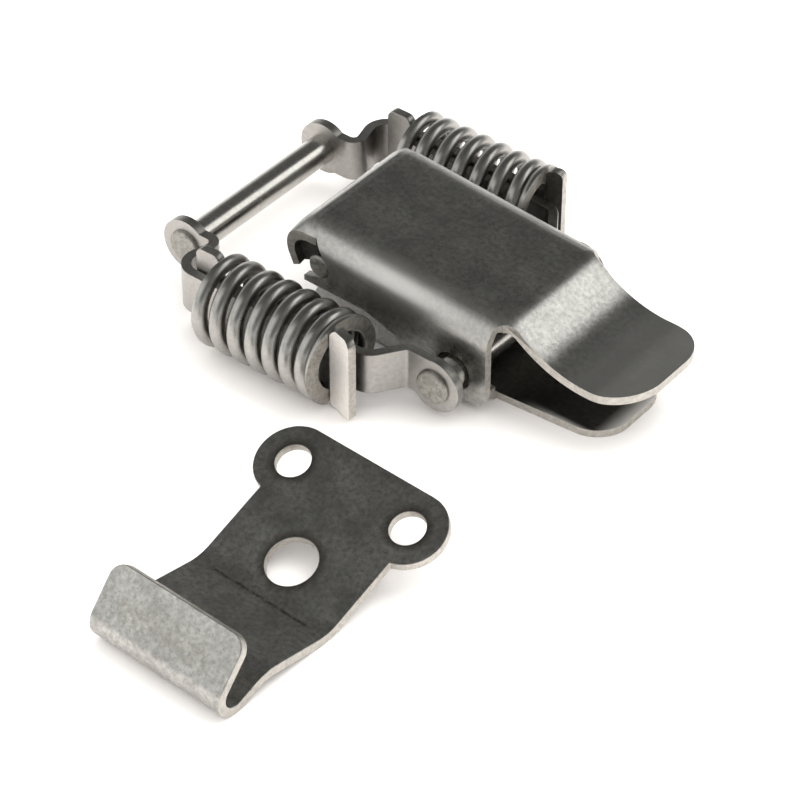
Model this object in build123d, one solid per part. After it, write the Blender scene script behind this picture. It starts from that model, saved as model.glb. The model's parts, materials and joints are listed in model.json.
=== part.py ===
"""Toggle latch of folded stainless sheet, with two spring-loaded links and its catch plate.

Frame: millimetres, +Z up, origin on the mounting plane, midway between the
two screw holes in the base. +X runs to the tip of the lever, and the claw's
crossbar lies towards -X. The latch is mirror-symmetric about Y = 0.
"""

import os
from math import asin, atan2, cos, degrees, hypot, radians, sin, tan

from build123d import *

# Fits shared by every pair of neighbours
RUN_FIT = 0.05
SEAT_FIT = 0.02
SIDE_GAP = 0.3
CUT_MARGIN = 1.0

# Lever: an inverted channel with a curled rear lip and a bent thumb tongue
LEVER_HALF_WIDTH = 14.4
LEVER_SHEET = 1.4
LEVER_TOP_Z = 18.0
LEVER_TOP_X = 2.0
CROWN_SLOPE_DEG = 4.6
LEVER_BEND_RADIUS = 4.6
LEVER_FRONT_X = 17.2
LEVER_BOTTOM_Z = 1.2
LEVER_FOOT_RADIUS = 2.4
LEVER_FOOT_X = 10.5
LEVER_WAIST = ((5.2, 3.6), (0.4, 7.0), (-6.0, 9.0))
LEVER_REAR_Z = 9.2
LIP_BEND_RADIUS = 4.4
LIP_REAR_X = -21.7
LIP_WRAP_DEG = 118.0
LIP_END_RUN = 2.2
LIP_HALF_WIDTH = 14.2
TONGUE_NECK_HALF_WIDTH = 10.6
TONGUE_HALF_WIDTH = 10.6
TONGUE_NECK_RUN = 4.0
TONGUE_WIDEN_RUN = 9.0
TONGUE_END_X = 41.2
TONGUE_CORNER_RADIUS = 7.5
CROWN_END_X = 17.15
DROP_BEND_RADIUS = 6.0
DROP_DEG = 39.0
DROP_RUN = 0.2
TONGUE_SWEEP_RADIUS = 20.0
TIP_RISE_DEG = 9.0
MOUTH_FLARE = 0.7
MOUTH_RISE_DEG = 35.0
NOSE_X = -18.0
WINDOW_TOP_X = -17.2
WINDOW_TOP_STEP = 0.6
EAR_SLOT_RISE = 4.0
EAR_SLOT_DEPTH = 10.0
EAR_SLOT_LENGTH = 9.0

# Lever pivot
PIVOT_X = -15.2
PIVOT_Z = 12.9
PIVOT_RADIUS = 2.0
PIVOT_CHAMFER = 0.4
EAR_RADIUS = 2.95
EAR_NECK_HALF_WIDTH = 2.4
EAR_ROOT_SPREAD = 0.6

# Base: a low channel inside the lever, with a flat tongue under the lever's own
BASE_HALF_WIDTH = 11.4
BASE_SHEET = 1.3
BASE_REAR_X = -19.0
CHEEK_REAR_Z = (3.4, 6.6)
CHEEK_WAIST = ((1.5, 5.6), (6.0, 3.0))
CHEEK_EAR_ROOT_Z = 9.4
CHEEK_FRONT_X = 16.0
CHEEK_FRONT_Z = 2.6
BASE_TONGUE_ROOT_X = 14.0
BASE_TONGUE_HALF_WIDTHS = (9.8, 8.4)
BASE_TONGUE_END_X = 35.6
BASE_TONGUE_CORNER_RADIUS = 6.0
BASE_BEND_RADIUS = 2.0
BASE_HOLE_RADIUS = 2.75
BASE_HOLE_SPACING = 13.0

# Link pin, which carries the two spring links
LINK_X = 11.0
LINK_Z = 5.8
LINK_BEARING_RADIUS = 3.3
LINK_BEARING_LENGTH = 2.0
LINK_BEARING_RECESS = 0.6
LINK_SHAFT_RADIUS = 2.6
LINK_JOURNAL_RADIUS = 2.2
LINK_HEAD_RADIUS = 2.9
HEAD_THICKNESS = 0.7
HEAD_RIM_RADIUS = 0.5

# Straps: one pair on the link pin, the other pair on the crossbar
STRAP_SHEET = 1.6
STRAP_HEIGHT = 7.4
STRAP_BEND_RADIUS = 2.4
FRONT_STRAP_Z = 6.6
FRONT_EYE_RADIUS = 4.6
FRONT_EYE_FACE_Y = 19.0
FRONT_JOGGLE_X = (5.0, 1.4)
REAR_STRAP_Z = 7.2
REAR_EYE_RADIUS = 4.6
REAR_EYE_INNER_Y = 16.1
REAR_JOGGLE_X = (-31.8, -34.2)
HEAD_HEIGHT = 15.0
HEAD_LENGTH = 2.9
HEAD_CORNER_RADIUS = 1.4
HEAD_FLARE_DEG = 8.5
HEAD_FLARE_X = -5.0

# Springs
SPRING_Y = 24.5
SPRING_Z = 7.6
SPRING_RADIUS = 7.5
SPRING_WIRE = 2.3
SPRING_REAR_X = -26.6
SPRING_FRONT_X = -1.0
SPRING_COILS = 7.0
GROUND_DEPTH = 0.7

# Crossbar
BAR_X = -39.6
BAR_Z = 7.4
BAR_RADIUS = 2.5
BAR_JOURNAL_RADIUS = 2.2
BAR_HEAD_RADIUS = 2.9

# Catch plate, modelled flat with U towards the hook and W up, then laid down tipped
CATCH_SHEET = 1.5
CATCH_HALF_WIDTH = 12.4
CATCH_LOBE_RADIUS = 6.1
CATCH_HOLE_SPACING = 22.0
CATCH_HOLE_RADIUS = 2.75
CATCH_CENTRE_HOLE_RADIUS = 4.0
CATCH_CENTRE_HOLE_U = 13.2
CATCH_NECK_U = 6.0
CATCH_RAMP_U = 17.5
CATCH_RAMP_BEND_RADIUS = 8.0
CATCH_STEP = 6.4
CATCH_RAMP_DEG = 30.0
CATCH_SEAT_U = 36.2
CATCH_HOOK_RADIUS = 3.5
CATCH_HOOK_WRAP_DEG = 150.0
CATCH_LIP_LENGTH = 8.0
CATCH_LIP_CORNER_RADIUS = 2.5
CATCH_PLACE_X = 18.1
CATCH_PLACE_Y = -47.55
CATCH_TURN_DEG = -2.55

SIDES = {"left": 1, "right": -1}


def rod(x, z, radius, y_from, y_to):
    """A round rod along Y."""
    middle = Location((x, (y_from + y_to) / 2, z), (90, 0, 0))
    return middle * Cylinder(radius, y_to - y_from)


def ribbon(path, thickness, plane, depth):
    """A folded strip: an open path on a plane, thickened to its left and extruded both ways."""
    strip = path.offset_2d(thickness, side=Side.LEFT, closed=True)
    return extrude(plane * make_face(strip), depth / 2, both=True)


def rounded_rectangle(x_from, x_to, z_from, z_to, radius):
    """A rounded rectangle in side view, as a sketch on the XY plane."""
    middle = Location(((x_from + x_to) / 2, (z_from + z_to) / 2))
    return middle * RectangleRounded(x_to - x_from, z_to - z_from, radius)


def side_cut(sketch, half_depth):
    """Extrude a sketch drawn in side view along Y, both ways from the middle plane."""
    return extrude(Plane.XZ * sketch, half_depth, both=True)


def crown_z(x):
    """Height of the crown's upper surface, which falls gently towards the tongue."""
    return LEVER_TOP_Z - (x - LEVER_TOP_X) * tan(radians(CROWN_SLOPE_DEG))


def lever_top():
    """The lever's top sheet in one strip: curled lip, flat crown, and tongue bent down and up."""
    fall = radians(CROWN_SLOPE_DEG)
    crown_normal = Vector(sin(fall), cos(fall))
    square_deg = 90 - CROWN_SLOPE_DEG
    crown_start_x = LIP_REAR_X + LIP_BEND_RADIUS * (1 + sin(fall))
    crown_start = Vector(crown_start_x, crown_z(crown_start_x))
    lip_centre = crown_start - crown_normal * LIP_BEND_RADIUS
    lip = CenterArc(lip_centre, LIP_BEND_RADIUS, square_deg + LIP_WRAP_DEG, -LIP_WRAP_DEG)
    lip_end = lip @ 0
    lip_tail = Line(lip_end - (lip % 0) * LIP_END_RUN, lip_end)
    crown_end = Vector(CROWN_END_X, crown_z(CROWN_END_X))
    crown = Line(crown_start, crown_end)
    drop_centre = crown_end - crown_normal * DROP_BEND_RADIUS
    drop = CenterArc(drop_centre, DROP_BEND_RADIUS, square_deg, CROWN_SLOPE_DEG - DROP_DEG)
    slope_end = (drop @ 1) + (drop % 1) * DROP_RUN
    slope = Line(drop @ 1, slope_end)
    down = radians(DROP_DEG)
    sweep_centre = slope_end + Vector(sin(down), cos(down)) * TONGUE_SWEEP_RADIUS
    tongue = CenterArc(sweep_centre, TONGUE_SWEEP_RADIUS, 270 - DROP_DEG, DROP_DEG + TIP_RISE_DEG)
    tip_run = (TONGUE_END_X + CUT_MARGIN - (tongue @ 1).X) / cos(radians(TIP_RISE_DEG))
    tip = Line(tongue @ 1, (tongue @ 1) + (tongue % 1) * tip_run)
    path = Wire([lip_tail, lip, crown, drop, slope, tongue, tip])
    strip = path.offset_2d(LEVER_SHEET, side=Side.RIGHT, closed=True)
    sheet = extrude(Plane.XZ * make_face(strip), LEVER_HALF_WIDTH, both=True)
    return sheet & lever_plan()


def lever_plan():
    """What the lever's top keeps in plan: the widths of lip, crown and tongue."""
    flat_half = LEVER_HALF_WIDTH - LEVER_BEND_RADIUS
    lip_middle = (LIP_REAR_X + NOSE_X) / 2
    lip = Location((lip_middle, 0)) * Rectangle(NOSE_X - LIP_REAR_X + CUT_MARGIN, 2 * LIP_HALF_WIDTH)
    crown_middle = (LEVER_FRONT_X + LIP_REAR_X) / 2
    crown = Location((crown_middle, 0)) * Rectangle(LEVER_FRONT_X - LIP_REAR_X, 2 * flat_half)
    neck = TONGUE_NECK_HALF_WIDTH
    half = TONGUE_HALF_WIDTH
    neck_x = LEVER_FRONT_X + TONGUE_NECK_RUN
    full_x = neck_x + TONGUE_WIDEN_RUN
    near = [(CROWN_END_X, -neck), (neck_x, -neck), (full_x, -half), (TONGUE_END_X, -half)]
    far = [(x, -y) for x, y in reversed(near)]
    tongue = make_face(Polyline(*near, *far, close=True))
    tongue = fillet(tongue.vertices().group_by(Axis.X)[-1], TONGUE_CORNER_RADIUS)
    return extrude(lip + crown + tongue, 2 * LEVER_TOP_Z, both=True)


def lever_channel():
    """The lever's crown and walls, cut to the walls' side outline."""
    outer = FilletPolyline(
        (-LEVER_HALF_WIDTH, 0),
        (-LEVER_HALF_WIDTH, LEVER_TOP_Z),
        (LEVER_HALF_WIDTH, LEVER_TOP_Z),
        (LEVER_HALF_WIDTH, 0),
        radius=LEVER_BEND_RADIUS,
    )
    strip = outer.offset_2d(LEVER_SHEET, side=Side.RIGHT, closed=True)
    reach = LEVER_FRONT_X - NOSE_X
    section = Plane.YZ.offset(LEVER_TOP_X) * make_face(strip)
    channel = extrude(section, reach, both=True)
    falling = Axis((LEVER_TOP_X, 0, LEVER_TOP_Z), (0, 1, 0))
    channel = channel.rotate(falling, CROWN_SLOPE_DEG)
    return channel & side_cut(lever_wall_outline(), LEVER_HALF_WIDTH + CUT_MARGIN)


def lever_wall_outline():
    """Side view of the lever's walls: nose, pivot mouth, sloping lower edge and front lobe."""
    upper = crown_z(NOSE_X) + CUT_MARGIN
    mouth = PIVOT_RADIUS + RUN_FIT
    rise = radians(MOUTH_RISE_DEG)
    points = [
        (LEVER_FRONT_X, upper),
        (LEVER_FRONT_X, LEVER_BOTTOM_Z),
        (LEVER_FOOT_X, LEVER_BOTTOM_Z),
        *LEVER_WAIST,
        (NOSE_X, LEVER_REAR_Z),
        (NOSE_X, PIVOT_Z - mouth - MOUTH_FLARE),
        (PIVOT_X, PIVOT_Z - mouth),
        (PIVOT_X, PIVOT_Z),
        (PIVOT_X + mouth * cos(rise), PIVOT_Z + mouth * sin(rise)),
        (WINDOW_TOP_X, crown_z(WINDOW_TOP_X) - WINDOW_TOP_STEP),
        (WINDOW_TOP_X - WINDOW_TOP_STEP, upper),
    ]
    body = make_face(Polyline(*points, close=True))
    corners = body.vertices().group_by(Axis.Y)[0]
    body = fillet(corners, LEVER_FOOT_RADIUS)
    return body - Location((PIVOT_X, PIVOT_Z)) * Circle(mouth)


def lever():
    """The lever in one folded piece, with the link pin's holes and slots past the base ears."""
    body = lever_top() + lever_channel()
    through = LEVER_HALF_WIDTH + CUT_MARGIN
    body -= rod(LINK_X, LINK_Z, LINK_BEARING_RADIUS + RUN_FIT, -through, through)
    slot_width = BASE_SHEET + 2 * SIDE_GAP
    slot_middle = BASE_HALF_WIDTH - BASE_SHEET / 2
    slot_z = PIVOT_Z + EAR_SLOT_RISE - EAR_SLOT_DEPTH / 2
    for side in SIDES.values():
        place = Location((LIP_REAR_X, side * slot_middle, slot_z))
        body -= place * Box(EAR_SLOT_LENGTH, slot_width, EAR_SLOT_DEPTH)
    return body


def base_plate():
    """The base in one folded piece: floor, two cheeks with pivot ears, and a flat tongue."""
    cheek_outer = BASE_HALF_WIDTH
    ear_top = PIVOT_Z + EAR_RADIUS
    profile = FilletPolyline(
        (-cheek_outer, ear_top),
        (-cheek_outer, 0),
        (cheek_outer, 0),
        (cheek_outer, ear_top),
        radius=BASE_BEND_RADIUS,
    )
    strip = profile.offset_2d(BASE_SHEET, side=Side.LEFT, closed=True)
    rear = BASE_REAR_X
    section = Plane.YZ.offset(rear) * make_face(strip)
    channel = extrude(section, CHEEK_FRONT_X - rear)
    neck = EAR_NECK_HALF_WIDTH
    cheek = make_face(
        Polyline(
            (rear, 0),
            (rear, CHEEK_REAR_Z[0]),
            (PIVOT_X - neck, CHEEK_REAR_Z[1]),
            (PIVOT_X - neck, PIVOT_Z),
            (PIVOT_X + neck, PIVOT_Z),
            (PIVOT_X + neck + EAR_ROOT_SPREAD, CHEEK_EAR_ROOT_Z),
            *CHEEK_WAIST,
            (CHEEK_FRONT_X, CHEEK_FRONT_Z),
            (CHEEK_FRONT_X, 0),
            close=True,
        )
    )
    cheek += Location((PIVOT_X, PIVOT_Z)) * Circle(EAR_RADIUS)
    channel &= side_cut(cheek, cheek_outer)
    root_half, tip_half = BASE_TONGUE_HALF_WIDTHS
    near = [(BASE_TONGUE_ROOT_X, -root_half), (BASE_TONGUE_END_X, -tip_half)]
    far = [(x, -y) for x, y in reversed(near)]
    plan = make_face(Polyline(*near, *far, close=True))
    tips = plan.vertices().group_by(Axis.X)[-1]
    tongue = extrude(fillet(tips, BASE_TONGUE_CORNER_RADIUS), BASE_SHEET)
    body = channel + tongue
    body -= rod(PIVOT_X, PIVOT_Z, PIVOT_RADIUS + SEAT_FIT, -cheek_outer, cheek_outer)
    for offset in (-BASE_HOLE_SPACING / 2, BASE_HOLE_SPACING / 2):
        body -= Location((offset, 0, 0)) * Cylinder(BASE_HOLE_RADIUS, 4 * BASE_SHEET)
    return body


def lever_pivot_pin():
    """The lever's pivot pin, with chamfered ends flush with the lever's walls."""
    pin = rod(PIVOT_X, PIVOT_Z, PIVOT_RADIUS, -LEVER_HALF_WIDTH, LEVER_HALF_WIDTH)
    return chamfer(pin.edges().filter_by(GeomType.CIRCLE), PIVOT_CHAMFER)


def link_pin():
    """The link pin: a shaft with two bearing bands in the lever's walls and peened ends."""
    strap_inner = FRONT_EYE_FACE_Y - STRAP_SHEET - RUN_FIT
    head_from = FRONT_EYE_FACE_Y + RUN_FIT
    head_to = head_from + HEAD_THICKNESS
    pin = rod(LINK_X, LINK_Z, LINK_SHAFT_RADIUS, -strap_inner, strap_inner)
    pin += rod(LINK_X, LINK_Z, LINK_JOURNAL_RADIUS, -head_from, head_from)
    band_to = LEVER_HALF_WIDTH - LINK_BEARING_RECESS
    for side in SIDES.values():
        ends = sorted((side * band_to, side * (band_to - LINK_BEARING_LENGTH)))
        pin += rod(LINK_X, LINK_Z, LINK_BEARING_RADIUS, *ends)
        pin += peened_head(LINK_X, LINK_Z, LINK_HEAD_RADIUS, side * head_from, side * head_to)
    return pin


def peened_head(x, z, radius, y_seat, y_face):
    """A hammered pin end: a low disc with a rounded rim on its outer side."""
    head = rod(x, z, radius, min(y_seat, y_face), max(y_seat, y_face))
    rims = head.edges().filter_by(GeomType.CIRCLE).sort_by(Axis.Y)
    rim = rims[-1] if y_face > y_seat else rims[0]
    return fillet(rim, HEAD_RIM_RADIUS)


def strap_head(middle, lean_deg):
    """A strap's T-shaped head: an upright plate whose inner face passes through a point."""
    lean = radians(lean_deg)
    plane = Plane((*middle, SPRING_Z), x_dir=(cos(lean), sin(lean), 0), z_dir=(sin(lean), -cos(lean), 0))
    return extrude(plane * RectangleRounded(HEAD_LENGTH, HEAD_HEIGHT, HEAD_CORNER_RADIUS), -STRAP_SHEET)


def strap(points, middle_z, eye_place, eye_radius, hole_radius, head):
    """A spring strap on the +Y side: a folded strip with an eye at one end and a head at the other."""
    path = FilletPolyline(*points, radius=STRAP_BEND_RADIUS)
    body = ribbon(path, STRAP_SHEET, Plane.XY.offset(middle_z), STRAP_HEIGHT)
    eye_x, eye_y, eye_z = eye_place
    body += rod(eye_x, eye_z, eye_radius, eye_y, eye_y + STRAP_SHEET)
    body += head
    return body - rod(eye_x, eye_z, hole_radius, eye_y - CUT_MARGIN, eye_y + STRAP_SHEET + CUT_MARGIN)


def front_strap():
    """The strap that hangs on the link pin and holds the spring's rear end."""
    inner = FRONT_EYE_FACE_Y - STRAP_SHEET
    run = SPRING_Y - SIDE_GAP / 2 - STRAP_SHEET
    head_middle = (SPRING_REAR_X - SEAT_FIT - HEAD_LENGTH / 2, run)
    points = [
        head_middle,
        (FRONT_JOGGLE_X[1], run),
        (FRONT_JOGGLE_X[0], inner),
        (LINK_X, inner),
    ]
    hole = LINK_JOURNAL_RADIUS + RUN_FIT
    head = strap_head(head_middle, 0)
    return strap(points, FRONT_STRAP_Z, (LINK_X, inner, LINK_Z), FRONT_EYE_RADIUS, hole, head)


def rear_strap():
    """The strap that holds the crossbar and the spring's front end, where its head flares out."""
    run = SPRING_Y + SIDE_GAP / 2
    lean = radians(HEAD_FLARE_DEG)
    edge_reach = HEAD_LENGTH / 2 * cos(lean) + STRAP_SHEET * sin(lean)
    head_x = SPRING_FRONT_X + SEAT_FIT + edge_reach
    head_middle = (head_x, run + (head_x - HEAD_FLARE_X) * tan(lean))
    points = [
        (BAR_X, REAR_EYE_INNER_Y),
        (REAR_JOGGLE_X[0], REAR_EYE_INNER_Y),
        (REAR_JOGGLE_X[1], run),
        (HEAD_FLARE_X, run),
        head_middle,
    ]
    hole = BAR_JOURNAL_RADIUS + SEAT_FIT
    head = strap_head(head_middle, HEAD_FLARE_DEG)
    return strap(points, REAR_STRAP_Z, (BAR_X, REAR_EYE_INNER_Y, BAR_Z), REAR_EYE_RADIUS, hole, head)


def spring():
    """A compression spring on the +Y side, with both ends ground flat."""
    length = SPRING_FRONT_X - SPRING_REAR_X
    wire_radius = SPRING_WIRE / 2
    path_length = length - SPRING_WIRE + 2 * GROUND_DEPTH
    pitch = path_length / SPRING_COILS
    mean_radius = SPRING_RADIUS - wire_radius
    path = Helix(pitch, path_length, mean_radius)
    start = Plane(path @ 0, z_dir=path % 0)
    coil = sweep(start * Circle(wire_radius), path, is_frenet=True)
    lift = SPRING_REAR_X + wire_radius - GROUND_DEPTH
    coil = Location((lift, SPRING_Y, SPRING_Z)) * (Rotation(0, 90, 0) * coil)
    window = Location(((SPRING_REAR_X + SPRING_FRONT_X) / 2, SPRING_Y, SPRING_Z))
    return coil & window * Box(length, 4 * SPRING_RADIUS, 4 * SPRING_RADIUS)


def crossbar():
    """The claw's round bar, shouldered between the straps and peened outside them."""
    strap_outer = REAR_EYE_INNER_Y + STRAP_SHEET
    bar = rod(BAR_X, BAR_Z, BAR_RADIUS, -REAR_EYE_INNER_Y, REAR_EYE_INNER_Y)
    bar += rod(BAR_X, BAR_Z, BAR_JOURNAL_RADIUS, -strap_outer, strap_outer)
    for side in SIDES.values():
        seat, face = side * strap_outer, side * (strap_outer + HEAD_THICKNESS)
        bar += peened_head(BAR_X, BAR_Z, BAR_HEAD_RADIUS, seat, face)
    return bar


def catch_profile():
    """The catch plate's top surface from the lobes to the hook's lip, as an open path."""
    ramp = radians(CATCH_RAMP_DEG)
    bend = CATCH_RAMP_BEND_RADIUS
    turn = bend * (1 - cos(ramp))
    reach = bend * sin(ramp)
    rise = CATCH_STEP - 2 * turn
    ramp_top_u = CATCH_RAMP_U + reach + rise / (sin(ramp) / cos(ramp)) + reach
    inner = CATCH_HOOK_RADIUS - CATCH_SHEET
    wrap = radians(CATCH_HOOK_WRAP_DEG)
    flat = Line((-CATCH_LOBE_RADIUS, 0), (CATCH_RAMP_U, 0))
    bend_up = CenterArc((CATCH_RAMP_U, bend), bend, -90, CATCH_RAMP_DEG)
    level_centre = (ramp_top_u, CATCH_STEP - bend)
    bend_level = CenterArc(level_centre, bend, 90 + CATCH_RAMP_DEG, -CATCH_RAMP_DEG)
    slope = Line(bend_up @ 1, bend_level @ 0)
    seat = Line((ramp_top_u, CATCH_STEP), (CATCH_SEAT_U, CATCH_STEP))
    hook = CenterArc((CATCH_SEAT_U, CATCH_STEP + inner), inner, -90, CATCH_HOOK_WRAP_DEG)
    tip = (hook @ 1) + Vector(cos(wrap), sin(wrap)) * CATCH_LIP_LENGTH
    lip = Line(hook @ 1, tip)
    return Wire([flat, bend_up, slope, bend_level, seat, hook, lip])


def catch_tilt_deg():
    """The tilt at which the plate rests on its first bend and on the hook's underside."""
    first_radius = CATCH_RAMP_BEND_RADIUS + CATCH_SHEET
    rise = CATCH_STEP + CATCH_HOOK_RADIUS - CATCH_SHEET - CATCH_RAMP_BEND_RADIUS
    run = CATCH_SEAT_U - CATCH_RAMP_U
    spread = hypot(run, rise)
    return degrees(atan2(rise, run) - asin((CATCH_HOOK_RADIUS - first_radius) / spread))


def catch_lip_corners(plate):
    """The two short edges across the sheet at the corners of the hook's lip."""
    wrap = radians(CATCH_HOOK_WRAP_DEG)
    across = Axis((0, 0, 0), (-sin(wrap), 0, cos(wrap)))
    return plate.edges().filter_by(across).group_by(Axis.Z)[-1]


def catch_plate():
    """The catch plate in one folded piece, lying on its bend and hook beside the latch."""
    strip = catch_profile().offset_2d(CATCH_SHEET, side=Side.RIGHT, closed=True)
    lobe_reach = CATCH_HOLE_SPACING / 2 + CATCH_LOBE_RADIUS + CUT_MARGIN
    sheet = extrude(Plane.XZ * make_face(strip), lobe_reach, both=True)
    spread = CATCH_HOLE_SPACING / 2
    lobe = CATCH_LOBE_RADIUS
    hook_reach = CATCH_SEAT_U + 2 * CATCH_HOOK_RADIUS + CUT_MARGIN
    body_middle = Location(((CATCH_NECK_U + hook_reach) / 2, 0))
    plan = body_middle * Rectangle(hook_reach - CATCH_NECK_U, 2 * CATCH_HALF_WIDTH)
    plan += Location((CATCH_NECK_U / 2, 0)) * Rectangle(CATCH_NECK_U + CUT_MARGIN, 2 * CATCH_HALF_WIDTH)
    plan += Rectangle(2 * lobe, 2 * spread)
    for v in (-spread, spread):
        plan += Location((0, v)) * Circle(lobe)
    for v in (-spread, spread):
        plan -= Location((0, v)) * Circle(CATCH_HOLE_RADIUS)
    plan -= Location((CATCH_CENTRE_HOLE_U, 0)) * Circle(CATCH_CENTRE_HOLE_RADIUS)
    plate = sheet & extrude(plan, hook_reach, both=True)
    plate = fillet(catch_lip_corners(plate), CATCH_LIP_CORNER_RADIUS)
    tilt = catch_tilt_deg()
    first_radius = CATCH_RAMP_BEND_RADIUS + CATCH_SHEET
    centre_drop = CATCH_RAMP_U * sin(radians(tilt)) - CATCH_RAMP_BEND_RADIUS * cos(radians(tilt))
    lift = first_radius + centre_drop
    laid = Rotation(0, tilt, 0) * plate
    turned = Rotation(0, 0, CATCH_TURN_DEG - 90) * laid
    return Location((CATCH_PLACE_X, CATCH_PLACE_Y, lift)) * turned


def main():
    """Build every piece and write one file for each."""
    pieces = {
        "base_plate": base_plate(),
        "lever_pivot_pin": lever_pivot_pin(),
        "lever": lever(),
        "link_pin": link_pin(),
        "crossbar": crossbar(),
        "catch_plate": catch_plate(),
    }
    for name, side in SIDES.items():
        for piece, shape in (("front_strap", front_strap()), ("rear_strap", rear_strap())):
            pieces[f"{name}_{piece}"] = shape if side > 0 else mirror(shape, Plane.XZ)
        coil = spring()
        pieces[f"{name}_spring"] = coil if side > 0 else coil.moved(Location((0, -2 * SPRING_Y, 0)))
    os.makedirs("parts", exist_ok=True)
    for name, shape in pieces.items():
        export_step(shape, f"parts/{name}.step")


main()
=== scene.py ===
"""Studio view of a toggle latch and its catch plate, in the frame's own coordinates."""

import json
import logging
import math
from dataclasses import dataclass, field
from enum import Enum, IntEnum

import bmesh
import bpy
from mathutils import Matrix, Vector
from mathutils.bvhtree import BVHTree

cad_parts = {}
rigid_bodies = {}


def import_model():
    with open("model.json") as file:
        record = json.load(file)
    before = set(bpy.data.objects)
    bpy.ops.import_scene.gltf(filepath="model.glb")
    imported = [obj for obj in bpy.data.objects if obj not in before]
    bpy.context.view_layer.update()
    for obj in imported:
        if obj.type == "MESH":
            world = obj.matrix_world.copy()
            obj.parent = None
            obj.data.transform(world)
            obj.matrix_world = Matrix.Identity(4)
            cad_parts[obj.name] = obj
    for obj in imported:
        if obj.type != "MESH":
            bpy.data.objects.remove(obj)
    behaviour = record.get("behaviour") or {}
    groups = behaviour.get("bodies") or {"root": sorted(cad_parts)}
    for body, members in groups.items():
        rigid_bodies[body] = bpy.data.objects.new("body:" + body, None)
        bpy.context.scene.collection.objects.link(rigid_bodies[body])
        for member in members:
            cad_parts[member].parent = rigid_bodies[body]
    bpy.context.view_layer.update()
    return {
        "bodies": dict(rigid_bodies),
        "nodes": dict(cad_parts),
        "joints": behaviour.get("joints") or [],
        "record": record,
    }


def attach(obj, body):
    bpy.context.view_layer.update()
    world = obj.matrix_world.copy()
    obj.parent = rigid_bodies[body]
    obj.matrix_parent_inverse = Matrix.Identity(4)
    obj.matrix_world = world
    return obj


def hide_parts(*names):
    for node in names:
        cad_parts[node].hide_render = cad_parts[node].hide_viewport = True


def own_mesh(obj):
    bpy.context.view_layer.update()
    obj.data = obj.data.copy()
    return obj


LOG = logging.getLogger("latch_scene")
MM = 0.001
MERGE = 1e-7
SMOOTH_DEG = 40.0
FLAT_WEIGHT = 60
Colour = tuple[float, float, float]
Span = tuple[float, float]
BMesh = bmesh.types.BMesh
Material = bpy.types.Material
Object = bpy.types.Object
Socket = bpy.types.NodeSocket


def ease(value: float, low: float, high: float) -> float:
    """0 below a range and 1 above it, with a smooth rise between."""
    share = min(max((value - low) / (high - low), 0.0), 1.0)
    return share * share * (3 - 2 * share)


class Slot(Enum):
    """Material slots of the record."""

    SHEET = "sheet_steel"
    PIN = "pin_steel"
    WIRE = "spring_wire"


class Side(IntEnum):
    """The kinds of face of a folded sheet, in the order of its finishes."""

    BROAD = 0
    SHEARED = 1
    # painted shade: faces of this kind get a near-black colour that stands in for the shade on
    # the hidden sides of the folds
    SHADED_INNER = 2
    END = 3
    # painted light: faces of this kind get a pale colour that stands in for a reflection of the
    # bright floor
    HEAD = 4


class Axis(Enum):
    """The frame's axes."""

    X = (1.0, 0.0, 0.0)
    Y = (0.0, 1.0, 0.0)
    Z = (0.0, 0.0, 1.0)


class Grain(Enum):
    """How a finish is marked: by wear in all directions, or by one direction of working."""

    TUMBLED = ((0.3, 0.0, 0.5), (0.2, 0.6, 1.9), (0.5, 0.1, -0.7))
    DRAWN = ((0.0, 0.0, 1.5708), (0.0, 0.0, 1.5708), (0.0, 0.0, 1.5708))
    SHEARED = ((0.0, 1.5708, 0.0), (0.0, 1.2, 0.0), (0.0, 1.5708, 0.4))


@dataclass(frozen=True)
class Texture:
    """The noise that every finish shares: scales per metre, and the ranges read from it."""

    grit_scale: float = 5200.0
    speck_scale: float = 1300.0
    mark_scale: float = 2600.0
    patch_tone: Span = (0.32, 0.7)
    patch_share: Span = (0.35, 1.0)
    speck_tone: Span = (0.3, 0.62)
    patch_rough: Span = (0.3, 0.72)
    mark_range: Span = (0.56, 0.72)
    mark_rough: float = 0.1
    mark_shift: tuple[float, float, float] = (0.11, 0.07, 0.0)
    bump_depth: float = 0.02


TEXTURE = Texture()
FULL = (0.0, 1.0)


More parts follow.
